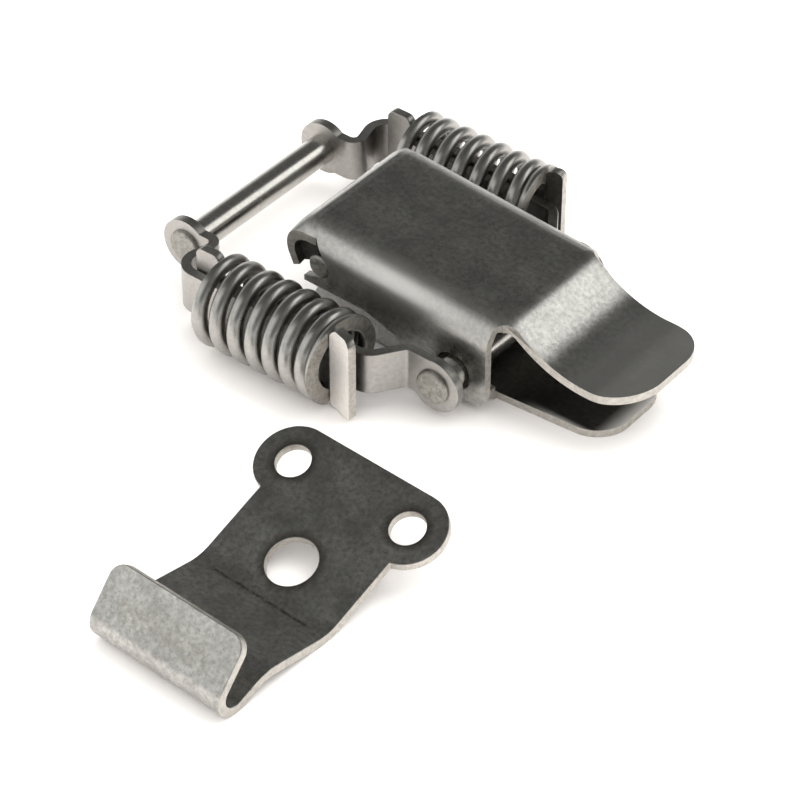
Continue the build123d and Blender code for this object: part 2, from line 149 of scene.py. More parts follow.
@dataclass(frozen=True)
class Finish:
    """A steel finish: its colours, its roughness and the marks left in it."""

    name: str
    dark: Colour
    light: Colour
    roughness: Span
    scratch: float
    pitting: float
    grain: Grain = Grain.TUMBLED
    patch_scale: float = 160.0
    line_scale: float = 220.0
    relief: float = 0.14
    metallic: float = 1.0

    def build(self) -> Material:
        """Make the material.

        Returns:
            A node material that reads object coordinates only.
        """
        material = bpy.data.materials.new(self.name)
        material.use_nodes = True
        shop = NodeShop(material.node_tree)
        place = shop.add("ShaderNodeTexCoord").outputs["Object"]
        patches = shop.noise(place, self.patch_scale)
        grit = shop.noise(place, TEXTURE.grit_scale, detail=3.0)
        lines = self._lines(shop, place)
        specks = shop.noise(place, TEXTURE.speck_scale, roughness=0.7)
        specks = shop.ramp(specks, TEXTURE.speck_tone, FULL)
        tone = shop.ramp(patches, TEXTURE.patch_tone, TEXTURE.patch_share)
        tone = shop.math("MULTIPLY", tone, specks)
        colour = self.stains_and_painted_light(shop, place, shop.over(tone, self.dark, self.light))
        rough = shop.ramp(patches, TEXTURE.patch_rough, self.roughness)
        rough = shop.math("MULTIPLY_ADD", lines, TEXTURE.mark_rough * self.scratch, rough)
        rough = self.dull(shop, place, rough)
        relief = shop.math("MULTIPLY", grit, self.pitting)
        relief = shop.math("MULTIPLY_ADD", lines, self.scratch, relief)
        bump = shop.add("ShaderNodeBump")
        bump.inputs["Strength"].default_value = self.relief
        bump.inputs["Distance"].default_value = TEXTURE.bump_depth * MM
        shop.link(relief, bump.inputs["Height"])
        steel = material.node_tree.nodes["Principled BSDF"]
        shop.link(self.metal(shop, place), steel.inputs["Metallic"])
        shop.link(colour, steel.inputs["Base Color"])
        shop.link(rough, steel.inputs["Roughness"])
        shop.link(bump.outputs["Normal"], steel.inputs["Normal"])
        return material

    def stains_and_painted_light(self, shop: "NodeShop", place: Socket, colour: Socket) -> Socket:
        """Local marks, painted shade and painted highlights over the colour; a plain finish has
        none.
        """
        return colour

    def dull(self, shop: "NodeShop", place: Socket, rough: Socket) -> Socket:
        """Local changes of the roughness; a plain finish has none."""
        return rough

    def metal(self, shop: "NodeShop", place: Socket) -> Socket:
        """How metallic the finish looks; a dull one less so."""
        return shop.math("ADD", self.metallic, 0.0)

    def _lines(self, shop: "NodeShop", place: Socket) -> Socket:
        """Three sets of long thin marks, each along its own direction.

        Args:
            shop: The material's node maker.
            place: The coordinates to read.

        Returns:
            A socket with 0 for plain metal and 1 in a mark.
        """
        total = None
        for number, turn in enumerate(self.grain.value):
            mapping = shop.add("ShaderNodeMapping")
            mapping.inputs["Rotation"].default_value = turn
            mapping.inputs["Location"].default_value = Vector(TEXTURE.mark_shift) * number
            across = TEXTURE.mark_scale
            mapping.inputs["Scale"].default_value = (self.line_scale, across, across)
            shop.link(place, mapping.inputs["Vector"])
            marks = shop.noise(mapping.outputs["Vector"], 1.0, detail=2.0, roughness=0.5)
            marks = shop.ramp(marks, TEXTURE.mark_range, FULL)
            total = marks if total is None else shop.math("MAXIMUM", total, marks)
        return total


@dataclass(frozen=True)
class NodeShop:
    """Short calls for the shader nodes that the finishes share."""

    tree: bpy.types.NodeTree
    mix_first: int = 6
    mix_second: int = 7
    mix_result: int = 2

    def add(self, kind: str) -> bpy.types.Node:
        """Add a node of a kind."""
        return self.tree.nodes.new(kind)

    def link(self, source: Socket, target: Socket) -> None:
        """Link two sockets."""
        self.tree.links.new(source, target)

    def noise(
        self, place: Socket, scale: float, detail: float = 4.0, roughness: float = 0.6
    ) -> Socket:
        """Read a noise texture.

        Args:
            place: The coordinates to read.
            scale: Its scale, per metre.
            detail: Its layers of detail.
            roughness: The weight of the finer layers.

        Returns:
            The noise, about 0 to 1.
        """
        node = self.add("ShaderNodeTexNoise")
        node.inputs["Scale"].default_value = scale
        node.inputs["Detail"].default_value = detail
        node.inputs["Roughness"].default_value = roughness
        self.link(place, node.inputs["Vector"])
        return node.outputs["Fac"]

    def ramp(self, value: Socket, source: Span, target: Span) -> Socket:
        """Map a range of values to another, clamped.

        Args:
            value: The values.
            source: Their range.
            target: The range to map it to.

        Returns:
            The mapped values.
        """
        node = self.add("ShaderNodeMapRange")
        node.inputs["From Min"].default_value, node.inputs["From Max"].default_value = source
        node.inputs["To Min"].default_value, node.inputs["To Max"].default_value = target
        self.link(value, node.inputs["Value"])
        return node.outputs["Result"]

    def math(self, operation: str, *values: Socket | float) -> Socket:
        """Join values by a math node.

        Args:
            operation: The node's operation.
            values: Sockets to link and numbers to set.

        Returns:
            The result.
        """
        node = self.add("ShaderNodeMath")
        node.operation = operation
        for socket, value in zip(node.inputs, values):
            if isinstance(value, (int, float)):
                socket.default_value = value
            else:
                self.link(value, socket)
        return node.outputs["Value"]

    def over(self, factor: Socket, below: Socket | Colour, above: Colour) -> Socket:
        """Lay a colour over another by a factor.

        Args:
            factor: The upper colour's share.
            below: The lower colour.
            above: The upper colour.

        Returns:
            The mixed colour.
        """
        node = self.add("ShaderNodeMix")
        node.data_type = "RGBA"
        self.link(factor, node.inputs[0])
        if isinstance(below, tuple):
            node.inputs[self.mix_first].default_value = (*below, 1.0)
        else:
            self.link(below, node.inputs[self.mix_first])
        node.inputs[self.mix_second].default_value = (*above, 1.0)
        return node.outputs[self.mix_result]

    def along(self, place: Socket, direction: Vector, origin: Vector) -> Socket:
        """Measure along a direction.

        Args:
            place: The coordinates, in metres.
            direction: The direction, of length 1.
            origin: Where the measure starts, in millimetres.

        Returns:
            The measure, in millimetres.
        """
        node = self.add("ShaderNodeVectorMath")
        node.operation = "DOT_PRODUCT"
        self.link(place, node.inputs[0])
        node.inputs[1].default_value = direction / MM
        return self.math("SUBTRACT", node.outputs["Value"], origin.dot(direction))

    def axis(self, place: Socket, axis: Axis) -> Socket:
        """Millimetres along one of the frame's axes."""
        return self.along(place, Vector(axis.value), Vector((0.0, 0.0, 0.0)))

    def band(self, value: Socket, low: float, high: float, soft: float) -> Socket:
        """Mark a range of values.

        Args:
            value: The values.
            low: The range's low end.
            high: Its high end.
            soft: The width of the fade outside it.

        Returns:
            1 in the range and 0 well outside it.
        """
        rise = self.ramp(value, (low - soft, low), FULL)
        fall = self.ramp(value, (high, high + soft), (1.0, 0.0))
        return self.math("MULTIPLY", rise, fall)


@dataclass(frozen=True)
class CatchFinish(Finish):
    """The catch plate's face: dark rims round its holes, a line of painted shade along its
    pressed crease, and a rubbed patch.
    """

    origin: tuple[float, float, float] = (18.1, -47.55, 7.946)
    tilt_deg: float = 19.936
    turn_deg: float = -92.55
    holes: tuple[tuple[float, float, float], ...] = (
        (0.0, 11.0, 2.75),
        (0.0, -11.0, 2.75),
        (13.2, 0.0, 4.0),
    )
    crease_u: float = 20.3
    crease_half: float = 8.5
    patch_z: Span = (7.0, 9.4)
    patch_half: float = 8.0
    patch_u: Span = (33.0, 35.0)
    patch_share: float = 0.6
    patch_soft: Span = (1.2, 1.5)
    rub_scale: float = 900.0
    patch_tone: Span = (0.36, 0.72)
    rim: Span = (0.5, 1.9)
    rim_share: float = 0.75
    uneven_scale: float = 700.0
    uneven_reach: float = 0.8
    uneven_tone: Span = (0.35, 0.6)
    crease_shade_half: float = 0.08
    crease_shade_soft: Span = (0.28, 1.0)
    crease_shade_share: Span = (0.25, 0.85)
    rim_and_crease_shade_colour: Colour = (0.1, 0.085, 0.068)
    patch_colour: Colour = (0.26, 0.238, 0.2)

    def stains_and_painted_light(self, shop: "NodeShop", place: Socket, colour: Socket) -> Socket:
        """Lay the rims, the painted shade along the pressed crease and the patch over the steel.

        Args:
            shop: The material's node maker.
            place: The object coordinates.
            colour: The steel's colour.

        Returns:
            The colour with its marks.
        """
        tilt, turn = math.radians(self.tilt_deg), math.radians(self.turn_deg)
        origin = Vector(self.origin)
        flat = math.cos(tilt)
        down = Vector((flat * math.cos(turn), flat * math.sin(turn), -math.sin(tilt)))
        across = Vector((-math.sin(turn), math.cos(turn), 0.0))
        u = shop.along(place, down, origin)
        v = shop.along(place, across, origin)
        z = shop.axis(place, Axis.Z)
        uneven = shop.noise(place, self.uneven_scale)
        for hole_u, hole_v, radius in self.holes:
            du = shop.math("POWER", shop.math("SUBTRACT", u, hole_u), 2.0)
            dv = shop.math("POWER", shop.math("ABSOLUTE", shop.math("SUBTRACT", v, hole_v)), 2.0)
            reach = shop.math("SQRT", shop.math("ADD", du, dv))
            reach = shop.math("ADD", reach, shop.math("MULTIPLY", uneven, self.uneven_reach))
            edge = (radius + self.rim[0], radius + self.rim[1])
            rim = shop.ramp(reach, edge, (self.rim_share, 0.0))
            colour = shop.over(rim, colour, self.rim_and_crease_shade_colour)
        # Painted shade: a dark line along the pressed crease.
        low, high = self.crease_u - self.crease_shade_half, self.crease_u + self.crease_shade_half
        line = shop.band(u, low, high, self.crease_shade_soft[0])
        reach = shop.band(v, -self.crease_half, self.crease_half, self.crease_shade_soft[1])
        line = shop.math("MULTIPLY", line, reach)
        line = shop.math("MULTIPLY", line, shop.ramp(uneven, self.uneven_tone, self.crease_shade_share))
        colour = shop.over(line, colour, self.rim_and_crease_shade_colour)
        patch = shop.band(z, *self.patch_z, self.patch_soft[0])
        reach = shop.band(v, -self.patch_half, self.patch_half, self.patch_soft[1])
        patch = shop.math("MULTIPLY", patch, reach)
        patch = shop.math("MULTIPLY", patch, shop.ramp(u, self.patch_u, (0.0, self.patch_share)))
        rubbed = shop.noise(place, self.rub_scale, roughness=0.65)
        patch = shop.math("MULTIPLY", patch, shop.ramp(rubbed, self.patch_tone, FULL))
        return shop.over(patch, colour, self.patch_colour)


@dataclass(frozen=True)
class PaintedShadeAndLightFinish(Finish):
    """An inner face painted dark with shade, fading to a pale painted light near the tongue's
    end and sides, where it is in the open.
    """

    fade_x: Span = (32.5, 36.5)
    side_x: Span = (20.0, 27.0)
    side_y: Span = (7.8, 9.6)
    open_painted_light_colour: Colour = (0.9, 0.867, 0.825)
    open_dull: float = 0.25
    open_metal: float = 0.12

    def stains_and_painted_light(self, shop: "NodeShop", place: Socket, colour: Socket) -> Socket:
        """Lay the pale painted light of the open margin over the painted shade."""
        return shop.over(self._open(shop, place), colour, self.open_painted_light_colour)

    def dull(self, shop: "NodeShop", place: Socket, rough: Socket) -> Socket:
        """Leave the open margin the duller."""
        return shop.math("MULTIPLY_ADD", self._open(shop, place), self.open_dull, rough)

    def metal(self, shop: "NodeShop", place: Socket) -> Socket:
        """Leave the open margin the less metallic."""
        return shop.ramp(self._open(shop, place), FULL, (self.metallic, self.open_metal))

    def _open(self, shop: "NodeShop", place: Socket) -> Socket:
        """Mark the open margin.

        Args:
            shop: The material's node maker.
            place: The object coordinates.

        Returns:
            1 in the open margin and 0 inside the channel.
        """
        x = shop.axis(place, Axis.X)
        y = shop.math("ABSOLUTE", shop.axis(place, Axis.Y))
        sides = shop.ramp(x, self.side_x, FULL)
        sides = shop.math("MULTIPLY", sides, shop.ramp(y, self.side_y, FULL))
        return shop.math("MAXIMUM", sides, shop.ramp(x, self.fade_x, FULL))


@dataclass(frozen=True)
class TongueFinish(Finish):
    """The lever's face, which thumbs have polished smooth on the tongue, with a painted
    highlight on its side bends and its tongue.
    """

    rub_x: Span = (22.0, 27.0)
    rub_share: float = 0.6
    bend_y: Span = (9.2, 11.2)
    bend_z: Span = (10.5, 13.5)
    bend_dull: float = 0.14
    tongue_highlight_x: Span = (26.0, 31.0)
    tongue_highlight_colour: Colour = (0.82, 0.813, 0.787)
    bend_highlight_colour: Colour = (0.62, 0.613, 0.59)
    bend_highlight_x: Span = (-17.0, -3.0)
    bend_highlight_end_x: Span = (2.0, 14.0)
    bend_highlight_share: Span = (0.8, 0.3)
    tongue_highlight_share: float = 0.72

    def stains_and_painted_light(self, shop: "NodeShop", place: Socket, colour: Socket) -> Socket:
        """Lay a brighter colour, a painted highlight, over the side bends and the tongue.

        Args:
            shop: The material's node maker.
            place: The object coordinates.
            colour: The steel's colour.

        Returns:
            The colour with its bright places.
        """
        x = shop.axis(place, Axis.X)
        most, least = self.bend_highlight_share
        # Painted highlight: a brighter colour along the side bends and over the tongue, standing
        # in for reflected light.
        bend = self._bend(shop, place)
        bend = shop.math("MULTIPLY", bend, shop.ramp(x, self.bend_highlight_x, (0.0, most)))
        bend = shop.math("MULTIPLY", bend, shop.ramp(x, self.bend_highlight_end_x, (1.0, least)))
        colour = shop.over(bend, colour, self.bend_highlight_colour)
        tongue = shop.ramp(x, self.tongue_highlight_x, (0.0, self.tongue_highlight_share))
        return shop.over(tongue, colour, self.tongue_highlight_colour)

    def dull(self, shop: "NodeShop", place: Socket, rough: Socket) -> Socket:
        """Make the tongue smoother than the crown, and the side bends duller.

        Args:
            shop: The material's node maker.
            place: The object coordinates.
            rough: The steel's roughness.

        Returns:
            The roughness with its changes.
        """
        x = shop.axis(place, Axis.X)
        rough = shop.math("MULTIPLY_ADD", self._bend(shop, place), self.bend_dull, rough)
        return shop.math("MULTIPLY", rough, shop.ramp(x, self.rub_x, (1.0, self.rub_share)))

    def _bend(self, shop: "NodeShop", place: Socket) -> Socket:
        """Mark the side bends.

        Args:
            shop: The material's node maker.
            place: The object coordinates.

        Returns:
            1 on the side bends and 0 elsewhere.
        """
        y = shop.math("ABSOLUTE", shop.axis(place, Axis.Y))
        z = shop.axis(place, Axis.Z)
        bend = shop.ramp(y, self.bend_y, FULL)
        return shop.math("MULTIPLY", bend, shop.ramp(z, self.bend_z, FULL))


FACE = Finish(
    "satin_sheet",
    dark=(0.37, 0.366, 0.35),
    light=(0.52, 0.512, 0.49),
    roughness=(0.25, 0.33),
    scratch=0.12,
    pitting=1.1,
    relief=0.2,
)
CATCH = CatchFinish(
    "catch_sheet",
    dark=(0.26, 0.257, 0.243),
    light=(0.56, 0.552, 0.526),
    roughness=(0.27, 0.36),
    scratch=0.15,
    pitting=1.0,
    relief=0.18,
)
# Painted highlight on the side bends and the tongue; the tongue's lower roughness is the thumbs'
# polish.
LEVER_WITH_HIGHLIGHTS = TongueFinish(
    "lever_sheet_painted_highlight",
    dark=(0.3, 0.297, 0.284),
    light=(0.58, 0.571, 0.546),
    roughness=(0.25, 0.33),
    scratch=0.12,
    pitting=1.1,
    relief=0.2,
)
# Painted shade and light: near black inside the base's channel, fading to a pale painted light
# where the channel is open.
CHANNEL_SHADE_AND_LIGHT = PaintedShadeAndLightFinish(
    "base_channel",
    dark=(0.08, 0.075, 0.068),
    light=(0.15, 0.143, 0.131),
    roughness=(0.45, 0.55),
    scratch=0.4,
    pitting=0.4,
)
# Painted shade: a near-black colour for the hidden sides of the folds, the undersides and the
# insides of the walls, where shade falls.
SHADED_INNER = Finish(
    "inner_sheet_painted_shade",
    dark=(0.08, 0.075, 0.068),
    light=(0.15, 0.143, 0.131),
    roughness=(0.68, 0.78),
    scratch=0.4,
    pitting=0.4,
)
EDGE = Finish(
    "sheared_edge",
    dark=(0.42, 0.4, 0.368),
    light=(0.68, 0.65, 0.604),
    roughness=(0.42, 0.6),
    grain=Grain.SHEARED,
    scratch=1.0,
    pitting=0.8,
)
STRAP = Finish(
    "strap_sheet",
    dark=(0.35, 0.337, 0.32),
    light=(0.45, 0.434, 0.412),
    roughness=(0.32, 0.42),
    scratch=0.4,
    pitting=0.6,
)
# Painted shade: the strap's edges are as smooth as its faces, and their colour is darker than
# the faces' to stand in for the dark reflection they show.
STRAP_EDGE_SHADED = Finish(
    "strap_edge_painted_shade",
    dark=(0.25, 0.245, 0.232),
    light=(0.38, 0.37, 0.35),
    roughness=(0.32, 0.44),
    grain=Grain.SHEARED,
    scratch=0.8,
    pitting=0.8,
)
# Painted light: a pale, half-metallic colour on the rear straps' outer head faces, standing in
# for the bright floor they reflect.
HEAD = Finish(
    "head_face_painted_light",
    dark=(0.74, 0.713, 0.674),
    light=(0.88, 0.85, 0.81),
    roughness=(0.55, 0.65),
    scratch=0.5,
    pitting=0.6,
    metallic=0.6,
)
BAR = Finish(
    "drawn_bar",
    dark=(0.44, 0.43, 0.405),
    light=(0.56, 0.545, 0.515),
    roughness=(0.2, 0.28),
    grain=Grain.DRAWN,
    scratch=0.15,
    pitting=0.1,
)
PEENED = Finish(
    "peened_end",
    dark=(0.24, 0.23, 0.21),
    light=(0.5, 0.482, 0.445),
    roughness=(0.45, 0.65),
    scratch=1.0,
    pitting=1.0,
    patch_scale=1500.0,
    line_scale=500.0,
)
WIRE = Finish(
    "spring_wire",
    dark=(0.33, 0.324, 0.308),
    light=(0.43, 0.422, 0.4),
    roughness=(0.26, 0.34),
    scratch=0.3,
    pitting=0.3,
)
STRAP_FINISHES = (STRAP, STRAP_EDGE_SHADED, SHADED_INNER, EDGE, HEAD)


@dataclass
class Library:
    """Builds each finish once."""

    made: dict[str, Material] = field(default_factory=dict)

    def get(self, finish: Finish) -> Material:
        """Give the material of a finish.

        Args:
            finish: The finish.

        Returns:
            Its material, built on the first call.
        """
        if finish.name not in self.made:
            self.made[finish.name] = finish.build()
        return self.made[finish.name]


@dataclass(frozen=True)
class SheetSize:
    """A sheet piece's finishes, its gauge and its softened edge, in millimetres."""

    gauge: float
    finishes: tuple[Finish, ...]
    edge_round: float = 0.16
    segments: int = 2


@dataclass
class SheetPiece:
    """A folded sheet drawn with soft edges and a finish for each kind of face."""

    node: Object
    size: SheetSize
    library: Library
    flat_deg: float = 0.6
    sharp_deg: float = 32.0
    broad_gauges: float = 1.2
    ray_start: float = 1e-6
    facing: float = 0.5

    def build(self, body: str) -> Object:
        """Draw the piece.

        Args:
            body: The body it rides on.

        Returns:
            The object that replaces the node.
        """
        bm = bmesh.new()
        bm.from_mesh(self.node.data)
        bmesh.ops.remove_doubles(bm, verts=bm.verts, dist=MERGE)
        self._mark_edges(bm)
        bmesh.ops.dissolve_limit(
            bm,
            angle_limit=math.radians(self.flat_deg),
            verts=bm.verts,
            edges=bm.edges,
            delimit={"MATERIAL"},
        )
        self.shape(bm)
        limit = math.radians(self.sharp_deg)
        joined = [e for e in bm.edges if len(e.link_faces) == 2]
        sharp = [e for e in joined if e.calc_face_angle() > limit]
        bmesh.ops.bevel(
            bm,
            geom=sharp,
            offset=self.size.edge_round * MM,
            affect="EDGES",
            segments=self.size.segments,
            profile=0.5,
            material=-1,
            clamp_overlap=True,
        )
        name = self.node.name
        materials = [self.library.get(finish) for finish in self.size.finishes]
        drawn = finish_mesh(bm, f"{name}_drawn", materials)
        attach(drawn, body)
        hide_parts(name)
        return drawn

    def _mark_edges(self, bm: BMesh) -> None:
        """Give each triangle its finish.

        A broad face has the gauge behind it, and an edge has more.

        Args:
            bm: The sheet's mesh.
        """
        tree = BVHTree.FromBMesh(bm)
        limit = self.broad_gauges * self.size.gauge * MM
        bm.normal_update()
        for face in bm.faces:
            middle = face.calc_center_median()
            start = middle - face.normal * self.ray_start
            hit = tree.ray_cast(start, -face.normal, limit)
            face.material_index = self.finish_of(middle, face.normal, hit[0] is not None)

    def finish_of(self, middle: Vector, normal: Vector, broad: bool) -> Side:
        """The kind of a face of the sheet."""
        face = Side.SHADED_INNER if self.is_shaded_inner(middle, normal) else Side.BROAD
        return face if broad else Side.SHEARED

    def faces_in(self, middle: Vector, normal: Vector) -> bool:
        """Whether a face looks across the latch, towards its middle plane."""
        return normal.y * middle.y < -abs(middle.y) * self.facing

    def is_shaded_inner(self, middle: Vector, normal: Vector) -> bool:
        """Whether a broad face lies on the hidden side of the fold, which is painted dark with
        shade.
        """
        return False

    def shape(self, bm: BMesh) -> None:
        """Form the sheet further before its edges are softened."""


def cut_across(bm: BMesh, x: Span, y: float) -> None:
    """Cut the faces that reach into a range of X along a plane of constant Y.

    Args:
        bm: The mesh to cut.
        x: The range of X, in millimetres.
        y: The plane's Y, in millimetres.
    """
    faces = []
    for face in bm.faces:
        places = [vert.co.x / MM for vert in face.verts]
        if max(places) > x[0] and min(places) < x[1]:
            faces.append(face)
    edges = list(dict.fromkeys(edge for face in faces for edge in face.edges))
    verts = list(dict.fromkeys(vert for face in faces for vert in face.verts))
    bmesh.ops.bisect_plane(
        bm,
        geom=verts + edges + faces,
        dist=MERGE,
        plane_co=(0.0, y * MM, 0.0),
        plane_no=(0.0, 1.0, 0.0),
    )


@dataclass
class BasePiece(SheetPiece):
    """The base plate, painted dark with shade inside its channel."""

    def is_shaded_inner(self, middle: Vector, normal: Vector) -> bool:
        """The floor's top and the cheeks' inner sides, which are painted with shade."""
        return normal.z > self.facing or self.faces_in(middle, normal)


@dataclass(frozen=True)
class LipSize:
    """Sizes of the lever's rear lip, in millimetres."""

    flat_half: float = 9.8
    bend_radius: float = 4.6
    nose_x: float = -17.45
    full_x: float = -18.0
    rear_x: float = -21.7
    middle_z: float = 14.6
    overlap: float = 1.3
    skin: float = 0.03
    rear_share: float = 0.3
    crown_fall: float = 0.0805
    curl: tuple[float, float, float] = (-17.3, 0.0, 12.05)
    pivot: Span = (-15.2, 12.9)
    pin_room: float = 2.2
    shade_web_radius: float = 3.8
    shade_web_drop: float = 0.3
    shade_web_y: Span = (12.3, 12.7)
    shade_web_deg: tuple[int, int, int] = (75, 205, 10)
    room_deg: tuple[int, int, int] = (195, 99, -12)
    skip_z: float = 2.4
    cuts: tuple[float, ...] = (9.8, 10.4, 11.0, 11.6, 12.2, 12.8, 13.4, 13.9)


@dataclass(frozen=True)
class ApexSize:
    """Sizes of the round corner between a wall's front edge and the tongue, in millimetres."""

    front_x: float = 17.2
    neck_half: float = 10.6
    flat_half: float = 9.8
    bend_radius: float = 4.6
    bend_z: float = 12.16
    radius: float = 3.0
    fall: float = 0.28
    front_fall: float = 0.4
    cut_in: float = 0.2
    on_edge: float = 0.02
    inside: float = 0.08
    outside: float = 0.1

    def past(self, run: float) -> float:
        """How far the corner's round stands off an edge at a run along it."""
        left = min(max(self.radius - run, 0.0), self.radius)
        return self.radius - math.sqrt(self.radius**2 - left**2)

    @property
    def middle(self) -> float:
        """The stand-off at the round's middle, the same from both edges."""
        return self.radius * (1 - math.sqrt(0.5))


@dataclass
class LeverPiece(SheetPiece):
    """The lever, whose lip rounds over into the side bends at both rear corners."""

    lip: LipSize = LipSize()
    apex: ApexSize = ApexSize()
    under: float = 0.3

    def is_shaded_inner(self, middle: Vector, normal: Vector) -> bool:
        """Tell the undersides, and the insides of the lip and the walls, which are painted dark
        with shade.

        Args:
            middle: The face's middle.
            normal: The face's normal.

        Returns:
            Whether the face is one of these.
        """
        if middle.x < self.lip.full_x * MM:
            return (Vector(self.lip.curl) * MM - middle).xz.dot(normal.xz) > 0
        return normal.z < -self.under or self.faces_in(middle, normal)

    def shape(self, bm: BMesh) -> None:
        """Round the lip's ends and close them with dark webs of painted shade, and round the
        corners beside the tongue.

        Args:
            bm: The sheet's mesh.
        """
        self._round_apexes(bm)
        self._round_lip(bm)
        for side in (-1, 1):
            self._close_lip_with_shade(bm, side)

    def _close_lip_with_shade(self, bm: BMesh, side: int) -> None:
        """Close an end of the lip with a dark web of painted shade, clear of the pivot pin: a
        sheet that stands for the shade in the cavity under the lip.

        Args:
            bm: The sheet's mesh.
            side: 1 for the left end and -1 for the right.
        """
        lip = self.lip
        curl_x, _, curl_z = lip.curl
        pivot_x, pivot_z = lip.pivot
        outline = []
        rounds = (
            (curl_x, curl_z - lip.shade_web_drop, lip.shade_web_radius, lip.shade_web_deg),
            (pivot_x, pivot_z, lip.pin_room, lip.room_deg),
        )
        for x, z, radius, degrees in rounds:
            for degree in range(*degrees):
                angle = math.radians(degree)
                outline.append((x + radius * math.cos(angle), z + radius * math.sin(angle)))
        rings = []
        for y in lip.shade_web_y:
            rings.append([bm.verts.new((x * MM, side * y * MM, z * MM)) for x, z in outline])
        faces = [bm.faces.new(rings[0]), bm.faces.new(list(reversed(rings[1])))]
        for first in range(len(outline)):
            after = (first + 1) % len(outline)
            corners = (rings[0][after], rings[0][first], rings[1][first], rings[1][after])
            faces.append(bm.faces.new(corners))
        for face in faces:
            # Painted shade: the web takes the near-black colour of the hidden faces.
            face.material_index = Side.SHADED_INNER
        bmesh.ops.recalc_face_normals(bm, faces=faces)

    def _round_lip(self, bm: BMesh) -> None:
        """Round the lip's ends down along the side bends.

        Args:
            bm: The sheet's mesh.
        """
        lip = self.lip
        for cut in lip.cuts:
            for side in (-1, 1):
                cut_across(bm, (-math.inf, lip.nose_x), side * cut)
        for vert in bm.verts:
            x, y, z = (value / MM for value in vert.co)
            past = abs(y) - lip.flat_half
            if x > lip.nose_x or past <= 0:
                continue
            if x > lip.full_x and z < lip.middle_z + lip.skip_z:
                continue
            share = lip.rear_share
            if z > lip.middle_z:
                share += (1.0 - lip.rear_share) * ease(x, lip.rear_x, lip.full_x)
            angle = past / lip.bend_radius
            drop = lip.bend_radius * (1 - math.cos(angle)) * share
            draw = (past - lip.bend_radius * math.sin(angle)) * share
            vert.co.z -= drop * MM
            vert.co.y -= math.copysign(draw, y) * MM
            if x > lip.full_x:
                vert.co.x += lip.overlap * MM
                vert.co.z += (lip.skin - lip.overlap * lip.crown_fall) * MM
                vert.co.y += math.copysign(lip.skin * math.sin(angle), y) * MM

    def _round_apexes(self, bm: BMesh) -> None:
        """Fill the corners between the walls' front edges and the tongue with a round.

        Args:
            bm: The sheet's mesh.
        """
        apex = self.apex
        moved = []
        near = (apex.front_x - 2 * apex.radius, apex.front_x + 3 * apex.radius)
        for side in (-1, 1):
            cut_across(bm, near, side * (apex.flat_half - apex.cut_in))
        for vert in bm.verts:
            x, y, z = (value / MM for value in vert.co)
            run = x - apex.front_x
            if not -apex.on_edge < run < apex.radius:
                continue
            if abs(y) < apex.neck_half - apex.inside or z < apex.bend_z:
                continue
            angle = math.atan2(abs(y) - apex.flat_half, z - apex.bend_z)
            arc = apex.bend_radius * angle - (apex.neck_half - apex.flat_half)
            if run > apex.on_edge and abs(y) > apex.neck_half + apex.outside:
                continue
            forward = out = 0.0
            if run <= apex.on_edge and arc > apex.middle:
                forward = apex.past(arc)
            elif run > apex.middle:
                out = apex.past(run)
            else:
                forward = apex.middle - run
                out = apex.neck_half + apex.middle - abs(y)
            vert.co.x += forward * MM
            vert.co.y += math.copysign(out, y) * MM
            steps = max(out, 0.0) / apex.middle + apex.front_fall * forward
            vert.co.z -= apex.fall * steps * MM
            moved.append(vert)
        bmesh.ops.remove_doubles(bm, verts=moved, dist=apex.on_edge * MM)


@dataclass(frozen=True)
class HeadSize:
    """Sizes of a rear strap's head, in millimetres."""

    root_x: float = -5.0
    neck_x: float = -2.2
    seat_x: float = -0.85
    end_x: float = 2.45
    lengthen: float = 0.5
    lean: float = 0.1495
    kick: float = 1.0
    turn_in: float = 1.25
    root_room: float = 0.4
    seat_room: float = 0.5


RIGHT_HEAD = HeadSize()
LEFT_HEAD = HeadSize(neck_x=-1.5, end_x=1.25, lengthen=-0.7, turn_in=0.5)


@dataclass
class RearStrapPiece(SheetPiece):
    """A rear strap, whose head is kicked out at its root and turns back in."""

    @property
    def head(self) -> HeadSize:
        """The head's sizes; the left one is the shorter."""
        return LEFT_HEAD if self.node.name.startswith("left") else RIGHT_HEAD

    def finish_of(self, middle: Vector, normal: Vector, broad: bool) -> Side:
        """Leave the head painted dark with shade inside, pale on its outer face with a painted
        reflection of the bright floor, and pale on its end.

        Args:
            middle: The face's middle.
            normal: The face's normal.
            broad: Whether the gauge lies behind it.

        Returns:
            The kind of the face.
        """
        if middle.x < (self.head.seat_x - self.head.seat_room) * MM:
            return super().finish_of(middle, normal, broad)
        if self.faces_in(middle, normal):
            return Side.SHADED_INNER
        if normal.z > self.facing:
            return Side.SHEARED
        return Side.END if normal.x > self.facing else Side.HEAD

    def shape(self, bm: BMesh) -> None:
        """Move the head along, kick it out at its root and turn its end back in.

        Args:
            bm: The sheet's mesh.
        """
        head = self.head
        for vert in bm.verts:
            x, y, _ = (value / MM for value in vert.co)
            if x < head.root_x + head.root_room:
                continue
            flare = (x - head.root_x) * head.lean
            if x > head.root_room:
                vert.co.x += head.lengthen * MM
            elif x > head.seat_x - head.seat_room:
                vert.co.x -= (head.seat_x - head.neck_x) * MM
            moved = vert.co.x / MM
            along = (moved - head.neck_x) / (head.end_x - head.neck_x)
            wanted = head.kick - head.turn_in * max(along, 0.0)
            vert.co.y += math.copysign(wanted - flare, y) * MM


@dataclass
class FrontStrapPiece(SheetPiece):
    """A front strap, whose head reaches a little further behind its spring."""

    tail_x: float = -28.2
    lengthen: float = 1.8

    def shape(self, bm: BMesh) -> None:
        """Lengthen the head towards the rear.

        Args:
            bm: The sheet's mesh.
        """
        for vert in bm.verts:
            if vert.co.x < self.tail_x * MM:
                vert.co.x -= self.lengthen * MM


